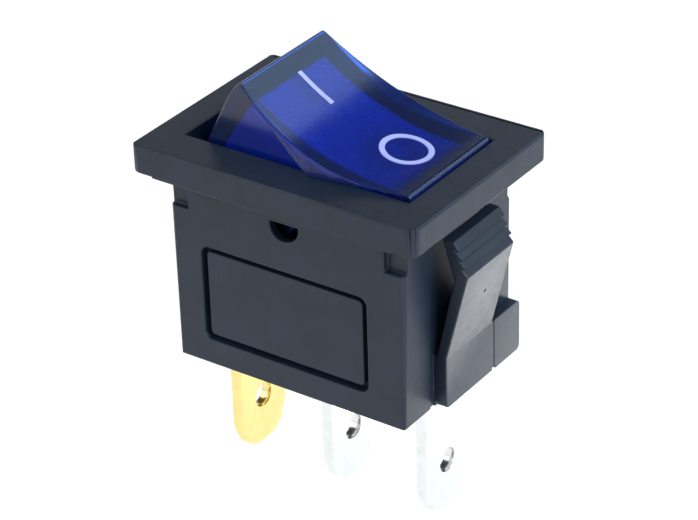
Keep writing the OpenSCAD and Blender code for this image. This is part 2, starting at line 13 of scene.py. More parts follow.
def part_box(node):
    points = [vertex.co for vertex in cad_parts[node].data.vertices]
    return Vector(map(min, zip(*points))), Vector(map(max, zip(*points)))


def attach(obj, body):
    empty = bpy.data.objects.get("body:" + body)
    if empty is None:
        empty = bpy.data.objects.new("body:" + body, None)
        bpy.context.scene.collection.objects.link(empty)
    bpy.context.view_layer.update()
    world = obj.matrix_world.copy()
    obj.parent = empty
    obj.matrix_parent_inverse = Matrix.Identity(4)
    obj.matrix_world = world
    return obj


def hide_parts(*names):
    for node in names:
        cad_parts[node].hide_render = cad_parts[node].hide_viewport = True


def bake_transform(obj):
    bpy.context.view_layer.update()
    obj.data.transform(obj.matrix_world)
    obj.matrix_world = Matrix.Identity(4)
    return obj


bl_info = {
    "name": "Illuminated rocker switch",
    "version": (1, 0, 0),
    "blender": (4, 2, 0),
    "location": "3D Viewport > Sidebar > Switch",
    "description": "Dresses a packed miniature rocker switch with its finishes, springs and lens",
    "category": "Object",
}

MM = 1e-3
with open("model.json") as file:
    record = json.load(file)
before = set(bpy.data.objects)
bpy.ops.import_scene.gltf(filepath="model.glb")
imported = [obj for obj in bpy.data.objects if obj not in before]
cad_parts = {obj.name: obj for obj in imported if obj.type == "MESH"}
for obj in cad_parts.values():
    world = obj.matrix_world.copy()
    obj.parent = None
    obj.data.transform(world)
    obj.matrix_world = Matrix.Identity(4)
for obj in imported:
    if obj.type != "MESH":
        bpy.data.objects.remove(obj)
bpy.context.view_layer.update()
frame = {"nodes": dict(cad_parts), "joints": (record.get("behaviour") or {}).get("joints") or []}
NODES = frame["nodes"]
JOINTS = {joint["name"]: joint for joint in frame["joints"]}
HINGE = JOINTS["rocker_hinge"]
PIVOT_Z = HINGE["pos_m"][2]
TILT = math.radians(HINGE["range_deg"][1]) / 2

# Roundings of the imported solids' edges
ROOM = 0.9                          # share of an edge that the roundings at its ends may take
LEAST = 0.12                        # roundings under this share of the wanted width are left out
FLAT = math.radians(0.4)            # edges that turn less than this lie in one face
IN_LINE = math.radians(25)          # edges that turn less than this where they meet are one run
SHARP = math.radians(50)            # edges that turn more than this are shaded as sharp
MERGE = 0.002 * MM                  # corners closer than this are one corner
FIT_ROUNDS = 60                     # tries at fitting the widths to one another

# Cuts of the housing that are made deeper, in millimetres
RIBS = 4                            # ribs on a clip
RIB_TOP = (10.05, -1.2)             # X and Z of the first rib's top edge
RIB_STEP = (0.25, -0.55)            # from there to the next rib's
RIB_NOTCH = 0.25                    # the notches between the ribs go this much further in
GROOVE_X = 6.6                      # the groove round a label panel lies within this length,
GROOVE_Z = (-11.6, -4.6)            # within this height
GROOVE_Y = 5.67                     # and has its floor this far from the middle
GROOVE_CUT = 0.25                   # its floor goes this much further in
NEAR = 0.02                         # corners are found to within this
NEAR_RIB = 0.05                     # and a rib's corners to within this

# The rocker's hollow, whose faces are found to within HOLLOW_NEAR
HOLLOW_NEAR = 0.2 * MM
HOLLOW_REACH = (7 * MM, 4 * MM)     # nothing of it lies further out than this, along and across

# Grids of the pieces that the scene makes
PRISM_STEPS = 10                    # grid lines for each prism
SLANT = 0.7071                      # the prisms' rows run at 45 degrees to the sheet's sides
WIRE_STEPS = 36                     # rings for each turn of a spring
WIRE_SIDES = 12                     # sides of its wire
TIGHT = 0.3                         # rise at a spring's very ends, as a share of that between
PLUNGER_COIL = (-1.6 * MM, 2.4 * MM)  # foot and head of the plunger's spring, over the pivot
PLUNGER_MEAN = 0.7 * MM             # radius of its coil
PLUNGER_TURNS = 7
LAMP_TURNS = {"lamp_spring_left": 12, "lamp_spring_right": 10}

SPECK = 0.045                       # radius of a dust speck, as a share of their spacing

# The stage
FLOOR_HALF = 1.2                    # half the floor's width
FLOOR_GLOW = 0.3                    # what the camera, gloss and glass see the floor give off
LAMP_AIM = (0, 0, -0.006)
LAMPS = (                           # name, place, aim, size, watts, colour
    ("key_right", (0.26, -0.02, 0.16), LAMP_AIM, (0.22, 0.22), 1.0, (1, 1, 1)),
    ("back_right", (0.11, 0.24, 0.20), LAMP_AIM, (0.18, 0.18), 0.19, (0.62, 0.84, 1.0)),
    ("fill_left", (-0.24, -0.20, 0.16), LAMP_AIM, (0.26, 0.26), 0.42, (1, 1, 1)),
    ("low_card", (0.0122, 0.0179, -0.0235), (0.0103, 0, -0.0065), (0.004, 0.014), 0.00125,
     (1, 1, 1)),
)


# ---------------------------------------------------------------- sizes and colours


def length_value(label, text, millimetres):
    """A length for the panel, given in millimetres"""
    return FloatProperty(name=label, description=text, default=millimetres * MM, min=0,
                         subtype="DISTANCE", unit="LENGTH", precision=6)


def colour_value(label, text, value):
    """A colour for the panel, given as linear red, green and blue"""
    return FloatVectorProperty(name=label, description=text, default=value, min=0, max=1,
                               subtype="COLOR")


def angle_value(label, text, degrees):
    """An angle for the panel, given in degrees"""
    return FloatProperty(name=label, description=text, default=math.radians(degrees),
                         subtype="ANGLE", unit="ROTATION")


class SwitchSizes(bpy.types.PropertyGroup):
    """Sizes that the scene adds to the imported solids"""

    edge_housing: length_value("Housing edge", "Rounding of the moulded housing's edges", 0.10)
    edge_cap: length_value("Rocker edge", "Rounding of the clear rocker's edges", 0.14)
    edge_tab: length_value("Tab edge", "Rounding of the stamped tabs' edges", 0.06)
    dish_radius: length_value("Dish radius", "Radius of the hollow across the rocker's top", 17.1)
    dish_middle: length_value("Dish middle", "Height of the hollow's middle over the pivot", 4.925)
    sheet_drop: length_value("Sheet drop", "Depth of the prism sheet's top below the dish", 1.16)
    sheet_thick: length_value("Sheet thickness", "Thickness of the prism sheet", 0.48)
    sheet_half_l: length_value("Sheet half length", "Half length of the prism sheet", 5.2)
    sheet_shift: FloatProperty(
        name="Sheet shift", description="The prism sheet's middle, from the rocker's",
        default=-0.3 * MM, subtype="DISTANCE", unit="LENGTH", precision=6)
    sheet_half_w: length_value("Sheet half width", "Half width of the prism sheet", 3.44)
    prism_pitch: length_value("Prism pitch", "Distance from one diamond prism to the next", 0.46)
    prism_depth: length_value("Prism depth", "Depth of the grooves between the prisms", 0.11)
    skin: length_value("Skin", "Thickness of the rocker's clear top", 1.1)
    hollow_half_l: length_value("Hollow half length", "Half length of the rocker's hollow", 6.5)
    hollow_half_w: length_value("Hollow half width", "Half width of the rocker's hollow", 3.5)
    ceiling_frost: FloatProperty(
        name="Ceiling frost", description="How matt the hollow's ceiling is, against its walls",
        default=0.3, min=0, max=1)
    wire_radius: length_value("Spring wire", "Radius of the wire of the coil springs", 0.1)


class SwitchColours(bpy.types.PropertyGroup):
    """Colours of the finishes, as linear values"""

    nylon: colour_value("Nylon", "Black moulded housing", (0.008, 0.0155, 0.031))
    lens: colour_value("Lens", "What the blue rocker lets through each millimetre",
                       (0.25, 0.42, 0.63))
    tint: colour_value("Rocker tint", "Colour of the rocker's skin and of its faint haze",
                       (0.05, 0.19, 0.92))
    sheet: colour_value("Prism sheet", "Milky sheet under the rocker's top", (0.66, 0.74, 0.92))
    ink: colour_value("Ink", "White print of the two marks", (0.36, 0.42, 0.84))
    brass: colour_value("Brass", "Brass tab and pads", (0.93, 0.74, 0.30))
    silver: colour_value("Silver plate", "Plated tabs", (0.76, 0.78, 0.77))


class SwitchStage(bpy.types.PropertyGroup):
    """Camera and floor"""

    azimuth: angle_value("Azimuth", "Camera's turn round the switch", 35.428)
    elevation: angle_value("Elevation", "Camera's height over the horizon", 30.011)
    roll: angle_value("Roll", "Camera's lean", -1.769)
    place: FloatVectorProperty(
        name="Camera place", description="Where the camera stands",
        default=(88.68 * MM, -123.93 * MM, 81.22 * MM), subtype="TRANSLATION",
        unit="LENGTH", precision=6)
    lens: FloatProperty(
        name="Focal length", description="Focal length in millimetres on a 36 mm sensor",
        default=144.13, min=10)
    floor_drop: length_value("Floor drop", "Gap between the tabs' tips and the floor", 24)


# ---------------------------------------------------------------- node helpers


class Shader:
    """A new material with one Principled shader, and short ways to add nodes to it"""

    def __init__(self, name):
        self.material = bpy.data.materials.new(name)
        self.material.use_nodes = True
        self.tree = self.material.node_tree
        self.tree.nodes.clear()
        self.out = self.node("ShaderNodeOutputMaterial")
        self.main = self.node("ShaderNodeBsdfPrincipled")
        self.link(self.main.outputs[0], self.out.inputs["Surface"])
        self.place = self.node("ShaderNodeTexCoord").outputs["Object"]

    def node(self, kind, **settings):
        """A new node of the kind named"""
        made = self.tree.nodes.new(kind)
        for key, value in settings.items():
            setattr(made, key, value)
        return made

    def link(self, output, socket):
        self.tree.links.new(output, socket)

    def put(self, socket, value):
        """Links the socket to a node's output, or gives it a constant"""
        if isinstance(value, bpy.types.NodeSocket):
            self.link(value, socket)
        else:
            socket.default_value = value

    def set(self, **values):
        """Sets the Principled shader's sockets, with _ for a space in their names"""
        for key, value in values.items():
            self.put(self.main.inputs[key.replace("_", " ")], value)
        return self

    def stretched(self, scale):
        """The place on the piece, with each axis multiplied by its scale"""
        made = self.node("ShaderNodeMapping")
        self.link(self.place, made.inputs["Vector"])
        made.inputs["Scale"].default_value = scale
        return made.outputs[0]

    def noise(self, size, detail=2.0, rough=0.5, vector=None):
        """Noise whose grains are about size metres across"""
        made = self.node("ShaderNodeTexNoise")
        self.put(made.inputs["Vector"], vector or self.place)
        made.inputs["Scale"].default_value = 1 / size
        made.inputs["Detail"].default_value = detail
        made.inputs["Roughness"].default_value = rough
        return made.outputs["Fac"]

    def ramp(self, fac, *stops):
        """Colour or value by fac; stops are (place, value or colour)"""
        made = self.node("ShaderNodeValToRGB")
        self.link(fac, made.inputs[0])
        points = made.color_ramp.elements
        while len(points) < len(stops):
            points.new(0.5)
        for point, (at, value) in zip(points, stops):
            point.position = at
            rgb = (value,) * 3 if isinstance(value, (int, float)) else tuple(value)
            point.color = (*rgb, 1)
        return made.outputs[0]

    def math(self, kind, *values):
        """The result of a math node of the kind named"""
        made = self.node("ShaderNodeMath", operation=kind)
        for socket, value in zip(made.inputs, values):
            self.put(socket, value)
        return made.outputs[0]

    def bump(self, height, strength, distance):
        """Normals that follow the height"""
        made = self.node("ShaderNodeBump")
        made.inputs["Strength"].default_value = strength
        made.inputs["Distance"].default_value = distance
        self.link(height, made.inputs["Height"])
        return made.outputs[0]

    def clear_to_shadows(self):
        """Lets light through on its way to a lamp, so that glass casts no dark shadow"""
        through = self.node("ShaderNodeBsdfTransparent")
        path = self.node("ShaderNodeLightPath")
        mix = self.node("ShaderNodeMixShader")
        self.link(path.outputs["Is Shadow Ray"], mix.inputs[0])
        self.link(self.main.outputs[0], mix.inputs[1])
        self.link(through.outputs[0], mix.inputs[2])
        self.link(mix.outputs[0], self.out.inputs["Surface"])

    def specks(self, size, share):
        """1 on small round grains scattered about size metres apart, where share says how many"""
        made = self.node("ShaderNodeTexVoronoi")
        self.link(self.place, made.inputs["Vector"])
        made.inputs["Scale"].default_value = 1 / size
        near = self.math("LESS_THAN", made.outputs["Distance"], SPECK)
        split = self.node("ShaderNodeSeparateColor")
        self.link(made.outputs["Color"], split.inputs[0])
        few = self.math("LESS_THAN", split.outputs[0], share)
        return self.math("MULTIPLY", near, few)


def shades(colour, spread):
    """The colour made darker and lighter by spread"""
    return (tuple(c * (1 - spread) for c in colour),
            tuple(min(1.0, c * (1 + spread)) for c in colour))


# ---------------------------------------------------------------- finishes


def black_nylon(colours):
    """Satin moulded nylon: soft cloudy tone, fine spark-eroded grain, a few pale dust specks"""
    s = Shader("black_nylon")
    low, high = shades(colours.nylon, 0.25)
    cloud = s.noise(2.6 * MM, 4, 0.6)
    tone = s.ramp(cloud, (0.3, low), (0.7, high))
    dust = s.specks(1.7 * MM, 0.05)
    mix = s.node("ShaderNodeMix", data_type="RGBA")
    s.link(dust, mix.inputs["Factor"])
    s.link(tone, mix.inputs["A"])
    mix.inputs["B"].default_value = (0.07, 0.08, 0.09, 1)
    grain = s.noise(0.09 * MM, 3, 0.7)
    waves = s.noise(1.1 * MM, 2, 0.5)
    height = s.math("ADD", s.math("MULTIPLY", grain, 0.25), waves)
    rough = s.ramp(s.noise(0.5 * MM, 4, 0.7), (0.25, 0.34), (0.75, 0.46))
    s.set(Base_Color=mix.outputs["Result"], Roughness=rough, Specular_IOR_Level=0.37,
          Normal=s.bump(height, 0.35, 0.02 * MM))
    return s.material


def blue_clear(colours):
    """Polished tinted polycarbonate: coloured by its depth, with faint flow marks"""
    s = Shader("blue_clear")
    polish = s.ramp(s.noise(0.8 * MM, 4, 0.6), (0.3, 0.13), (0.75, 0.19))
    frost = s.node("ShaderNodeAttribute", attribute_name="frosted").outputs["Fac"]
    rough = s.math("ADD", polish, s.math("MULTIPLY", frost, 0.35))
    s.set(Base_Color=(*colours.tint, 1), IOR=1.52, Roughness=rough,
          Transmission_Weight=s.math("MULTIPLY_ADD", frost, -0.7, 0.95),
          Normal=s.bump(s.noise(1.6 * MM, 2, 0.4), 0.25, 0.02 * MM))
    s.clear_to_shadows()
    depth = [-math.log(c) / MM for c in colours.lens]
    density = max(depth) * 1.02
    body = s.node("ShaderNodeVolumeAbsorption")
    body.inputs["Color"].default_value = (*[1 - d / density for d in depth], 1)
    body.inputs["Density"].default_value = density
    s.link(body.outputs[0], s.out.inputs["Volume"])
    return s.material


def prism_sheet_finish(colours):
    """Milky prism sheet: lets light through and scatters it"""
    s = Shader("milky_clear")
    low, high = shades(colours.sheet, 0.12)
    tone = s.ramp(s.noise(0.9 * MM, 3, 0.5), (0.3, low), (0.7, high))
    s.set(Base_Color=tone, Roughness=0.22, Transmission_Weight=0.25, IOR=1.5,
          Normal=s.bump(s.noise(0.12 * MM, 2, 0.5), 0.2, 0.01 * MM))
    return s.material


def white_ink(colours):
    """Pad print: slightly thin at places, faint texture"""
    s = Shader("white_ink")
    low, high = shades(colours.ink, 0.06)
    tone = s.ramp(s.noise(0.35 * MM, 4, 0.6), (0.35, low), (0.65, high))
    s.set(Base_Color=tone, Roughness=0.42,
          Normal=s.bump(s.noise(0.08 * MM, 2, 0.6), 0.2, 0.01 * MM))
    return s.material


def white_plastic():
    """Satin white moulding, with a faint cloud and a fine grain"""
    s = Shader("white_plastic")
    tone = s.ramp(s.noise(1.2 * MM, 3, 0.5),
                  (0.3, (0.70, 0.72, 0.70)), (0.7, (0.80, 0.81, 0.79)))
    s.set(Base_Color=tone, Roughness=0.4,
          Normal=s.bump(s.noise(0.1 * MM, 2, 0.6), 0.2, 0.01 * MM))
    return s.material


def lamp_glass_finish():
    """Clear blown glass, unevenly smooth"""
    s = Shader("lamp_glass")
    rough = s.ramp(s.noise(0.6 * MM, 2, 0.5), (0.3, 0.01), (0.7, 0.05))
    s.set(Base_Color=(0.93, 0.99, 0.98, 1), Transmission_Weight=1.0, IOR=1.47,
          Roughness=rough)
    s.clear_to_shadows()
    return s.material


def metal(name, colour, rough, along=(1, 1, 1), tarnish=0.05, scratch=0.3):
    """Stamped or drawn metal: cloudy tone, fine marks stretched along one axis, small dents"""
    s = Shader(name)
    low, high = shades(colour, tarnish)
    tone = s.ramp(s.noise(0.9 * MM, 5, 0.6), (0.3, low), (0.65, high))
    marks = s.noise(0.05 * MM, 3, 0.6, s.stretched(along))
    s.set(Base_Color=tone, Metallic=1.0,
          Roughness=s.ramp(marks, (0.3, rough * 0.8), (0.75, min(1.0, rough * 1.45))),
          Normal=s.bump(marks, scratch, 0.006 * MM))
    return s.material


def resistor_body():
    """Tan lacquer with a thin gloss"""
    s = Shader("resistor_body")
    tone = s.ramp(s.noise(0.5 * MM, 3, 0.5),
                  (0.3, (0.46, 0.36, 0.20)), (0.7, (0.58, 0.46, 0.27)))
    s.set(Base_Color=tone, Roughness=0.35, Coat_Weight=0.3,
          Normal=s.bump(s.noise(0.3 * MM, 2, 0.5), 0.2, 0.02 * MM))
    return s.material


def resistor_paint():
    """One paint per band, told apart by where the band lies along the body"""
    s = Shader("resistor_paint")
    split = s.node("ShaderNodeSeparateXYZ")
    s.link(s.place, split.inputs[0])
    along = s.math("MULTIPLY_ADD", split.outputs["Y"], 1 / (4 * MM), 0.5)
    red, orange, brown = (0.30, 0.05, 0.02), (0.45, 0.16, 0.02), (0.06, 0.02, 0.01)
    tone = s.ramp(along, (0.0, red), (0.42, red), (0.45, orange), (0.56, orange),
                  (0.6, brown), (1.0, brown))
    s.set(Base_Color=tone, Roughness=0.4,
          Normal=s.bump(s.noise(0.1 * MM, 2, 0.5), 0.15, 0.01 * MM))
    return s.material


# ---------------------------------------------------------------- shapes


def new_piece(name, vertices, faces, material, body, stands_for=(), smooth=True):
    """A mesh piece that rides on a body and stands for CAD nodes"""
    mesh = bpy.data.meshes.new(name)
    mesh.from_pydata(vertices, [], faces)
    mesh.validate()
    mesh.polygons.foreach_set("use_smooth", np.full(len(mesh.polygons), smooth))
    return dressed(name, mesh, material, body, stands_for)


def dressed(name, mesh, material, body, stands_for=()):
    """An object that shows the mesh in one material, rides on a body and stands for CAD nodes"""
    mesh.materials.clear()
    mesh.materials.append(material)
    made = bpy.data.objects.new(name, mesh)
    bpy.context.scene.collection.objects.link(made)
    if body:
        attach(made, body)
    if stands_for:
        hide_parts(*stands_for)
    return made


def finish_node(name, material):
    """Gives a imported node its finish"""
    mesh = NODES[name].data
    mesh.materials.clear()
    mesh.materials.append(material)


def eased_copy(name, node, width, material, body, turn=28.0, segments=3, reshape=None):
    """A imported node's mesh with every edge that turns more than turn, in degrees, rounded over
    width, or over less where there is no room for that"""
    work = bmesh.new()
    work.from_mesh(NODES[node].data)
    bmesh.ops.remove_doubles(work, verts=work.verts, dist=MERGE)
    join_flats(work)
    if reshape:
        reshape(work)
    share = work.edges.layers.float.new("bevel_weight_edge")
    for edge, room in eased_widths(work, width, math.radians(turn)):
        edge[share] = room / width
    draft = bpy.data.objects.new("draft", bpy.data.meshes.new("draft"))
    bpy.context.scene.collection.objects.link(draft)
    work.to_mesh(draft.data)
    work.free()
    ease = draft.modifiers.new("ease", "BEVEL")
    ease.limit_method = "WEIGHT"
    ease.width = width
    ease.segments = segments
    ease.use_clamp_overlap = False
    mesh = bpy.data.meshes.new_from_object(
        draft.evaluated_get(bpy.context.evaluated_depsgraph_get()))
    mesh.name = name
    bpy.data.meshes.remove(draft.data)
    mesh.polygons.foreach_set("use_smooth", np.ones(len(mesh.polygons), bool))
    mesh.set_sharp_from_angle(angle=SHARP)
    made = dressed(name, mesh, material, body, (node,))
    even = made.modifiers.new("flat_faces", "WEIGHTED_NORMAL")
    even.mode = "FACE_AREA"
    even.weight = 50
    even.keep_sharp = True
    return made


def deepen_cuts(work):
    """Cuts the notches between the clips' ribs and the grooves round the label panels further in,
    and marks the edges of the grooves' floors as seams, which stay sharp"""
    floor = set()
    for vertex in work.verts:
        x, y, z = vertex.co / MM
        if (abs(x) < GROOVE_X and GROOVE_Z[0] < z < GROOVE_Z[1]
                and abs(abs(y) - GROOVE_Y) < NEAR):
            floor.add(vertex)
            vertex.co.y -= math.copysign(GROOVE_CUT * MM, y)
        step = (z - RIB_TOP[1]) / RIB_STEP[1]
        number = round(step)
        if (0 < number < RIBS and abs(step - number) < NEAR_RIB
                and abs(abs(x) - RIB_TOP[0] - number * RIB_STEP[0]) < NEAR_RIB):
            vertex.co.x -= math.copysign(RIB_NOTCH * MM, x)
    for edge in work.edges:
        edge.seam = floor.issuperset(edge.verts)


def join_flats(work):
    """Joins the triangles of a flat face, the smallest first, over their longest edges, as long as
    two of them share one edge and nothing else, so that a face with a hole ends up in two or more
    parts; then takes out the corners that lie on a straight edge"""
    joined = True
    while joined:
        joined = False
        for face in sorted(work.faces, key=lambda f: f.calc_area()):
            if not face.is_valid:
                continue
            for edge in sorted(face.edges, key=lambda e: -e.calc_length()):
                faces = edge.link_faces
                if (len(faces) == 2 and edge.calc_face_angle(0) < FLAT
                        and len(set(faces[0].verts) & set(faces[1].verts)) == 2):
                    bmesh.utils.face_join(list(faces))
                    joined = True
                    break
    middles = [v for v in work.verts if len(v.link_edges) == 2 and v.calc_edge_angle(0) < FLAT]
    bmesh.ops.dissolve_verts(work, verts=middles)


def eased_widths(work, width, angle):
    """Pairs of a sharp edge and the width that its rounding may have. Sharp edges that run on from
    one another form a run, which has one width. Where two edges of a face meet at an angle a,
    roundings of widths u and v take (v + u cos a) / sin a off the first edge; what both ends take
    off an edge stays under ROOM of its length, and a run that would be left with next to nothing
    stays sharp"""
    sharp = [e for e in work.edges
             if len(e.link_faces) == 2 and e.calc_face_angle(0) > angle and not e.seam]
    run = edge_runs(sharp)
    sides, corners = {}, []
    for vertex in {v for e in sharp for v in e.verts}:
        for first in vertex.link_edges:
            for face in first.link_faces:
                last, far_face, turn = next_crease(first, face, vertex)
                runs = run.get(first, -1), run.get(last, -1)
                if max(runs) < 0 or runs[0] == runs[1] or turn >= math.pi - 1e-3:
                    continue
                for edge, side in ((first, face), (last, far_face)):
                    sides.setdefault((edge, side), len(sides))
                corners.append((sides[first, face], sides[last, far_face], *runs,
                                math.cos(turn), math.sin(turn)))
    one, two, run_one, run_two, cosine, sine = np.array(corners).T
    one, two, run_one, run_two = (part.astype(int) for part in (one, two, run_one, run_two))
    length = np.array([edge.calc_length() for edge, _ in sides])
    widths = np.append(np.full(max(run.values()) + 1, width), 0.0)
    for _ in range(FIT_ROUNDS):
        off_one = (widths[run_two] + widths[run_one] * cosine) / sine
        off_two = (widths[run_one] + widths[run_two] * cosine) / sine
        taken = np.zeros(len(length))
        np.add.at(taken, one, np.maximum(off_one, 0) / 2)
        np.add.at(taken, two, np.maximum(off_two, 0) / 2)
        fit = np.minimum(1, ROOM * length / np.maximum(taken, 1e-9))
        ease = np.ones(len(widths))
        for at in (run_one, run_two):
            np.minimum.at(ease, at, np.minimum(fit[one], fit[two]))
        ease[-1] = 1
        if ease.min() > 0.999:
            break
        widths *= ease
        widths[widths < LEAST * width] = 0
    return [(edge, widths[run[edge]]) for edge in sharp]


def next_crease(edge, face, vertex):
    """Walks round the vertex from the edge through the face, over flat edges, to the next one that
    is a crease; gives that edge, the face before it and the angle walked"""
    walked = 0.0
    start = edge
    while True:
        loop = next(corner for corner in face.loops if corner.vert == vertex)
        inner = loop.calc_angle()
        walked += inner if loop.is_convex else 2 * math.pi - inner
        before = loop.link_loop_prev.edge
        edge = loop.edge if before == edge else before
        if edge == start or len(edge.link_faces) != 2 or edge.calc_face_angle(0) > FLAT:
            return edge, face, walked
        face = next(other for other in edge.link_faces if other != face)


def edge_runs(edges):
    """Numbers the runs of edges: two edges are in one run where only they meet and they nearly
    line up"""
    run = {}
    at = {}
    for edge in edges:
        for vertex in edge.verts:
            at.setdefault(vertex, []).append(edge)
    for edge in edges:
        if edge in run:
            continue
        number = len(set(run.values()))
        run[edge] = number
        waiting = [edge]
        while waiting:
            here = waiting.pop()
            for vertex in here.verts:
                others = [e for e in at[vertex] if e != here]
                if (len(others) == 1 and others[0] not in run
                        and lines_up(here, others[0], vertex)):
                    run[others[0]] = number
                    waiting.append(others[0])
    return run


def lines_up(one, two, vertex):
    """Whether edge two nearly goes on in edge one's direction past the vertex"""
    way = vertex.co - one.other_vert(vertex).co
    return way.angle(two.other_vert(vertex).co - vertex.co) < IN_LINE


def to_frame(points):
    """Points in the rocker's own frame, before its tilt, put into the switch's frame"""
    turn = np.array(Matrix.Rotation(TILT, 3, "Y"))
    return np.asarray(points) @ turn.T + np.array([0, 0, PIVOT_Z])


def grid_faces(rows, columns, close_columns=False):
    """Quads of a grid of points whose last column may join the first"""
    r = np.arange(rows - 1)[:, None]
    c = np.arange(columns if close_columns else columns - 1)[None, :]
    r2, c2 = r + 1, (c + 1) % columns
    quads = np.stack(np.broadcast_arrays(
        r * columns + c, r * columns + c2, r2 * columns + c2, r2 * columns + c), axis=-1)
    return quads.reshape(-1, 4)


def prism_sheet_points(sizes):
    """The prism sheet: a grid over its rectangle, whose top z = axis - sqrt(radius^2 - x^2) lies on
    the dish's circle, dropped, less diamond grooves g = depth (w(x + y) + w(x - y)) / 2, where w
    is a triangle wave; its underside follows the same circle plainly. The grid's rim joins the
    two skins"""
    rows = int(2 * sizes.sheet_half_l / sizes.prism_pitch * PRISM_STEPS) + 1
    columns = int(2 * sizes.sheet_half_w / sizes.prism_pitch * PRISM_STEPS) + 1
    x, y = np.meshgrid(np.linspace(sizes.sheet_shift - sizes.sheet_half_l,
                                   sizes.sheet_shift + sizes.sheet_half_l, rows),
                       np.linspace(-sizes.sheet_half_w, sizes.sheet_half_w, columns), indexing="ij")
    radius = sizes.dish_radius + sizes.sheet_drop
    axis = sizes.dish_middle + sizes.dish_radius
    waves = [np.abs(way * SLANT / sizes.prism_pitch % 1.0 - 0.5) * 2 for way in (x + y, x - y)]
    groove = sizes.prism_depth * sum(waves) / 2
    top = axis - np.sqrt(radius ** 2 - x ** 2) - groove
    under = axis - np.sqrt((radius + sizes.sheet_thick) ** 2 - x ** 2)
    skins = np.stack([np.stack([x, y, z], axis=-1).reshape(-1, 3) for z in (top, under)])
    upper = grid_faces(rows, columns)
    rim = grid_rim(rows, columns)
    side = np.stack([rim, np.roll(rim, -1), np.roll(rim, -1) + rows * columns,
                     rim + rows * columns], axis=-1)
    faces = np.concatenate([upper, upper[:, ::-1] + rows * columns, side])
    return to_frame(skins.reshape(-1, 3)), faces


def grid_rim(rows, columns):
    """The numbers of a grid's points once round its rim"""
    number = np.arange(rows * columns).reshape(rows, columns)
    return np.concatenate([number[0, :-1], number[:-1, -1], number[-1, :0:-1], number[:0:-1, 0]])


def spring_points(foot, head, turns, mean, wire):
    """A coil spring: a circle of wire radius carried along a helix from foot to head, whose pitch
    closes up over its first and last turn, with the wire's two ends closed by a flat face"""
    foot, head = np.asarray(foot, float), np.asarray(head, float)
    up = (head - foot) / np.linalg.norm(head - foot)
    side = np.cross([0, 1, 0], up)
    side /= np.linalg.norm(side)
    third = np.cross(up, side)
    steps, sides = turns * WIRE_STEPS, WIRE_SIDES
    t = np.linspace(0, 1, steps + 1)
    pace = TIGHT + (1 - TIGHT) * np.clip(np.minimum(t, 1 - t) * turns, 0, 1)
    rise = np.concatenate([[0], np.cumsum((pace[1:] + pace[:-1]) / 2)])
    rise = rise / rise[-1] * (np.linalg.norm(head - foot) - 2 * wire) + wire
    a = 2 * np.pi * turns * t
    out = np.cos(a)[:, None] * side + np.sin(a)[:, None] * third
    line = foot + rise[:, None] * up + mean * out
    b = np.linspace(0, 2 * np.pi, sides, endpoint=False)
    ring = np.cos(b)[None, :, None] * out[:, None] + np.sin(b)[None, :, None] * up
    tube = line[:, None] + wire * ring
    faces = grid_faces(steps + 1, sides, close_columns=True)[:, ::-1].tolist()
    first, last = np.arange(sides), np.arange(sides) + steps * sides
    faces += [first.tolist(), last[::-1].tolist()]
    return tube.reshape(-1, 3), faces


def frost_hollow(mesh, sizes):
    """Marks how matt the faces of the rocker's hollow are: fully on its four walls, a little on its
    ceiling"""
    count = len(mesh.polygons)
    middles, ways = np.empty(3 * count), np.empty(3 * count)
    mesh.polygons.foreach_get("center", middles)
    mesh.polygons.foreach_get("normal", ways)
    turn = np.array(Matrix.Rotation(TILT, 3, "Y"))
    x, y, z = ((middles.reshape(-1, 3) - (0, 0, PIVOT_Z)) @ turn).T
    way_x, way_y, way_z = (ways.reshape(-1, 3) @ turn).T
    within_x, within_y = np.abs(x) < HOLLOW_REACH[0], np.abs(y) < HOLLOW_REACH[1]
    on_side = np.abs(np.abs(y) - sizes.hollow_half_w) < HOLLOW_NEAR
    on_end = np.abs(np.abs(x) - sizes.hollow_half_l) < HOLLOW_NEAR
    side = on_side & (y * way_y < 0) & within_x
    end = on_end & (x * way_x < 0) & within_y
    depth = np.hypot(x, z - sizes.dish_middle - sizes.dish_radius) - sizes.dish_radius
    ceiling = (way_z < -0.5) & (np.abs(depth - sizes.skin) < HOLLOW_NEAR) & within_y
    frost = np.where(side | end, 1.0, np.where(ceiling, sizes.ceiling_frost, 0.0))
    mesh.attributes.new("frosted", "FLOAT", "FACE").data.foreach_set("value", frost)


def face_out(mesh):
    """Turns the faces of a closed mesh outward"""
    work = bmesh.new()
    work.from_mesh(mesh)
    bmesh.ops.recalc_face_normals(work, faces=work.faces)
    work.to_mesh(mesh)
    work.free()


# ---------------------------------------------------------------- operators


class SWITCH_OT_housing(bpy.types.Operator):
    """Rounds the housing's edges and gives it its satin nylon"""

    bl_idname = "switch.housing"
    bl_label = "Housing"

    def execute(self, context):
        sizes, colours = context.scene.switch_sizes, context.scene.switch_colours
        eased_copy("housing_moulding", "housing", sizes.edge_housing, black_nylon(colours),
                   "base", reshape=deepen_cuts)
        return {"FINISHED"}


class SWITCH_OT_rocker(bpy.types.Operator):
    """Makes the clear rocker, the prism sheet under its top and the two printed marks"""

    bl_idname = "switch.rocker"
    bl_label = "Rocker"

    def execute(self, context):
        sizes, colours = context.scene.switch_sizes, context.scene.switch_colours
        lens = eased_copy("rocker_lens", "rocker_cap", sizes.edge_cap, blue_clear(colours),
                          "rocker")
        frost_hollow(lens.data, sizes)
        points, faces = prism_sheet_points(sizes)
        sheet = new_piece("prism_sheet", points.tolist(), faces.tolist(),
                          prism_sheet_finish(colours), "rocker", ("diffuser",),
                          smooth=False)
        face_out(sheet.data)
        ink = white_ink(colours)
        for node in ("mark_on", "mark_off"):
            finish_node(node, ink)
        return {"FINISHED"}


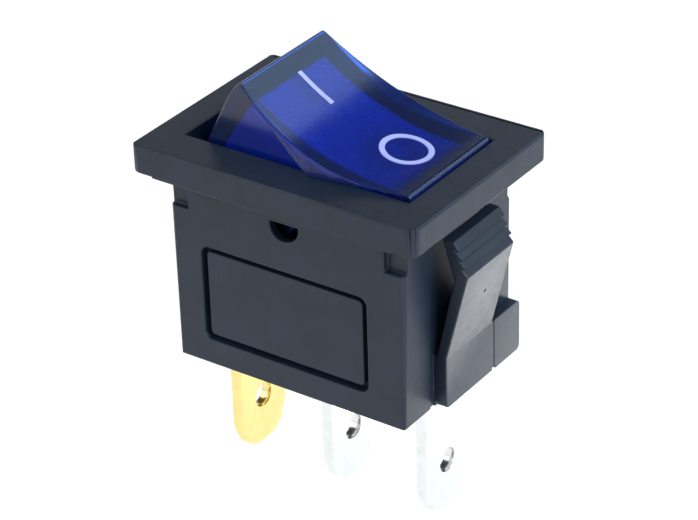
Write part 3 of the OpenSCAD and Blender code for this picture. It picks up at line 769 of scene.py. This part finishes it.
class SWITCH_OT_lamp(bpy.types.Operator):
    """Finishes the lamp, its resistor, their carrier, wires and pads"""

    bl_idname = "switch.lamp"
    bl_label = "Lamp parts"

    def execute(self, context):
        colours = context.scene.switch_colours
        wire = metal("tinned_wire", (0.72, 0.73, 0.75), 0.28)
        finish_node("lamp_carrier", white_plastic())
        finish_node("lamp_glass", lamp_glass_finish())
        finish_node("resistor", resistor_body())
        finish_node("resistor_bands", resistor_paint())
        for node in ("lamp_electrodes", "lamp_lead", "link_wire", "resistor_lead"):
            finish_node(node, wire)
        pads = metal("pad_brass", tuple(colours.brass), 0.22)
        for node in ("pad_left", "pad_right"):
            finish_node(node, pads)
        return {"FINISHED"}


class SWITCH_OT_contacts(bpy.types.Operator):
    """Finishes the plunger, the contact bar and the contacts"""

    bl_idname = "switch.contacts"
    bl_label = "Contacts"

    def execute(self, context):
        colours = context.scene.switch_colours
        finish_node("plunger", white_plastic())
        finish_node("contact_bar", metal("copper_strip", (0.74, 0.40, 0.24), 0.25))
        points = metal("silver_contact", (0.86, 0.86, 0.85), 0.2)
        for node in ("moving_contact", "fixed_contact"):
            finish_node(node, points)
        return {"FINISHED"}


class SWITCH_OT_springs(bpy.types.Operator):
    """Winds the plunger's spring and the two springs that feed the lamp"""

    bl_idname = "switch.springs"
    bl_label = "Springs"

    def execute(self, context):
        sizes = context.scene.switch_sizes
        steel = metal("spring_steel", (0.62, 0.63, 0.66), 0.22, scratch=0.2)
        for node, turns in LAMP_TURNS.items():
            low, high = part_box(node)
            x, y = (low.x + high.x) / 2, (low.y + high.y) / 2
            mean = (high.x - low.x) / 2 - sizes.wire_radius
            points, faces = spring_points((x, y, low.z), (x, y, high.z), turns, mean,
                                          sizes.wire_radius)
            coil = new_piece(node + "_coil", points.tolist(), faces, steel, None,
                             (node,))
            face_out(coil.data)
            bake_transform(coil)
        node = "plunger_spring"
        foot, head = (to_frame([[0, 0, z]])[0] for z in PLUNGER_COIL)
        points, faces = spring_points(foot, head, PLUNGER_TURNS, PLUNGER_MEAN,
                                      sizes.wire_radius)
        coil = new_piece(node + "_coil", points.tolist(), faces, steel, None,
                         (node,))
        face_out(coil.data)
        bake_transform(coil)
        return {"FINISHED"}


class SWITCH_OT_tabs(bpy.types.Operator):
    """Rounds the stamped tabs' edges and gives them brass or silver plate"""

    bl_idname = "switch.tabs"
    bl_label = "Tabs"

    def execute(self, context):
        sizes, colours = context.scene.switch_sizes, context.scene.switch_colours
        brass = metal("tab_brass", tuple(colours.brass), 0.2, along=(1, 1, 0.15))
        silver = metal("silver_plate", tuple(colours.silver), 0.2, along=(1, 1, 0.15))
        for node, material, slot in (("terminal_lamp", brass, "brass"),
                                     ("terminal_common", silver, "silver_plate"),
                                     ("terminal_load", silver, "silver_plate")):
            eased_copy(node.replace("terminal", "tab"), node, sizes.edge_tab, material, "base",
                       segments=2)
        return {"FINISHED"}


class SWITCH_OT_stage(bpy.types.Operator):
    """Sets up the floor, the lamps, the world and the camera"""

    bl_idname = "switch.stage"
    bl_label = "Stage"

    def execute(self, context):
        stage = context.scene.switch_stage
        low = min(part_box(n)[0].z for n in ("terminal_lamp", "terminal_common", "terminal_load"))
        make_floor(low - stage.floor_drop)
        make_world()
        for lamp in LAMPS:
            make_lamp(*lamp)
        make_camera(stage)
        context.scene.view_settings.view_transform = "Standard"
        return {"FINISHED"}


def shown_share(s, names):
    """1 for the kinds of ray named"""
    path = s.node("ShaderNodeLightPath")
    total = path.outputs[names[0]]
    for name in names[1:]:
        total = s.math("MAXIMUM", total, path.outputs[name])
    return total


def make_floor(height):
    """A flat white table. Rays from the camera, gloss and glass also see it glow a little, so that
    it reads as white paper and keeps its shadow, and the camera sees its far parts, which the
    lamps don't reach, glow more"""
    half = FLOOR_HALF
    mesh = bpy.data.meshes.new("floor")
    mesh.from_pydata([(-half, -half, height), (half, -half, height), (half, half, height),
                      (-half, half, height)], [], [(0, 1, 2, 3)])
    s = Shader("floor_paper")
    tone = s.ramp(s.noise(0.12, 2, 0.5), (0.3, 0.79), (0.7, 0.81))
    s.set(Base_Color=tone, Roughness=0.9, Specular_IOR_Level=0.1)
    distance = s.node("ShaderNodeVectorMath", operation="LENGTH")
    s.link(s.place, distance.inputs[0])
    far = s.ramp(distance.outputs["Value"], (0.2, 0.0), (0.6, 0.4))
    near_glow = s.math("MULTIPLY", FLOOR_GLOW, shown_share(
        s, ("Is Camera Ray", "Is Glossy Ray", "Is Transmission Ray")))
    far_glow = s.math("MULTIPLY", far, shown_share(s, ("Is Camera Ray",)))
    glow = s.node("ShaderNodeEmission")
    s.link(s.math("ADD", near_glow, far_glow), glow.inputs["Strength"])
    add = s.node("ShaderNodeAddShader")
    s.link(s.main.outputs[0], add.inputs[0])
    s.link(glow.outputs[0], add.inputs[1])
    s.link(add.outputs[0], s.out.inputs["Surface"])
    mesh.materials.append(s.material)
    floor = bpy.data.objects.new("floor", mesh)
    bpy.context.scene.collection.objects.link(floor)


def make_world():
    """Plain grey light on everything. The camera sees white, and rays from gloss and glass see a
    bright horizon that darkens upwards, as in a studio whose walls are white and whose ceiling is
    dark"""
    world = bpy.data.worlds.new("studio")
    bpy.context.scene.world = world
    world.use_nodes = True
    tree = world.node_tree
    tree.nodes.clear()
    out = tree.nodes.new("ShaderNodeOutputWorld")
    path = tree.nodes.new("ShaderNodeLightPath")
    height = tree.nodes.new("ShaderNodeSeparateXYZ")
    tree.links.new(tree.nodes.new("ShaderNodeTexCoord").outputs["Generated"], height.inputs[0])
    fall = tree.nodes.new("ShaderNodeValToRGB")
    for point, (at, value) in zip(fall.color_ramp.elements, ((0.30, 1.0), (0.48, 0.08))):
        point.position = at
        point.color = (value, value, value, 1)
    tree.links.new(height.outputs["Z"], fall.inputs[0])
    seen = tree.nodes.new("ShaderNodeBackground")
    tree.links.new(fall.outputs[0], seen.inputs["Color"])
    room = tree.nodes.new("ShaderNodeBackground")
    room.inputs["Color"].default_value = (0.42, 0.43, 0.45, 1)
    mix = tree.nodes.new("ShaderNodeMixShader")
    tree.links.new(path.outputs["Is Diffuse Ray"], mix.inputs[0])
    tree.links.new(seen.outputs[0], mix.inputs[1])
    tree.links.new(room.outputs[0], mix.inputs[2])
    white = tree.nodes.new("ShaderNodeBackground")
    white.inputs["Color"].default_value = (1, 1, 1, 1)
    backdrop = tree.nodes.new("ShaderNodeMixShader")
    tree.links.new(path.outputs["Is Camera Ray"], backdrop.inputs[0])
    tree.links.new(mix.outputs[0], backdrop.inputs[1])
    tree.links.new(white.outputs[0], backdrop.inputs[2])
    tree.links.new(backdrop.outputs[0], out.inputs["Surface"])


def make_lamp(name, place, aim, size, power, tint):
    """A soft square lamp at place, facing aim, out of the camera's sight"""
    light = bpy.data.lights.new(name, "AREA")
    light.shape = "RECTANGLE"
    light.size, light.size_y = size
    light.energy = power
    light.color = tint
    lamp = bpy.data.objects.new(name, light)
    lamp.location = place
    lamp.rotation_mode = "QUATERNION"
    lamp.rotation_quaternion = (Vector(aim) - Vector(place)).to_track_quat("-Z", "Y")
    lamp.visible_camera = False
    bpy.context.scene.collection.objects.link(lamp)


def make_camera(stage):
    """The camera looks back along its own Z: back is the way from the switch to the camera, and its
    right and up are turned by the roll"""
    a, e, r = stage.azimuth, stage.elevation, stage.roll
    back = Vector((math.sin(a) * math.cos(e), -math.cos(a) * math.cos(e), math.sin(e)))
    right = Vector((math.cos(a), math.sin(a), 0))
    up = back.cross(right)
    rolled_right = math.cos(r) * right + math.sin(r) * up
    rolled_up = -math.sin(r) * right + math.cos(r) * up
    data = bpy.data.cameras.new("camera")
    data.sensor_width = 36
    data.lens = stage.lens
    data.clip_start, data.clip_end = 0.01, 10
    camera = bpy.data.objects.new("camera", data)
    basis = Matrix((rolled_right, rolled_up, back)).transposed().to_4x4()
    camera.matrix_world = Matrix.Translation(Vector(stage.place)) @ basis
    bpy.context.scene.collection.objects.link(camera)
    bpy.context.scene.camera = camera


class SWITCH_PT_panel(bpy.types.Panel):
    """Lists the steps that dress the switch"""

    bl_idname = "SWITCH_PT_panel"
    bl_label = "Rocker switch"
    bl_space_type = "VIEW_3D"
    bl_region_type = "UI"
    bl_category = "Switch"

    def draw(self, context):
        for step in STEPS:
            self.layout.operator(step.bl_idname)
        for group in ("switch_sizes", "switch_colours", "switch_stage"):
            values = getattr(context.scene, group)
            column = self.layout.column(align=True)
            for key in values.bl_rna.properties.keys():
                if key not in ("rna_type", "name"):
                    column.prop(values, key)


STEPS = (SWITCH_OT_housing, SWITCH_OT_rocker, SWITCH_OT_lamp, SWITCH_OT_contacts,
         SWITCH_OT_springs, SWITCH_OT_tabs, SWITCH_OT_stage)
GROUPS = (SwitchSizes, SwitchColours, SwitchStage)


def register():
    for made in (*GROUPS, *STEPS, SWITCH_PT_panel):
        bpy.utils.register_class(made)
    bpy.types.Scene.switch_sizes = PointerProperty(type=SwitchSizes)
    bpy.types.Scene.switch_colours = PointerProperty(type=SwitchColours)
    bpy.types.Scene.switch_stage = PointerProperty(type=SwitchStage)


def unregister():
    del bpy.types.Scene.switch_sizes
    del bpy.types.Scene.switch_colours
    del bpy.types.Scene.switch_stage
    for made in (SWITCH_PT_panel, *reversed(STEPS), *reversed(GROUPS)):
        bpy.utils.unregister_class(made)


def main():
    """Dresses the switch"""
    register()
    for step in (bpy.ops.switch.housing, bpy.ops.switch.rocker, bpy.ops.switch.lamp,
                 bpy.ops.switch.contacts, bpy.ops.switch.springs, bpy.ops.switch.tabs,
                 bpy.ops.switch.stage):
        step()


if __name__ == "__main__":
    main()
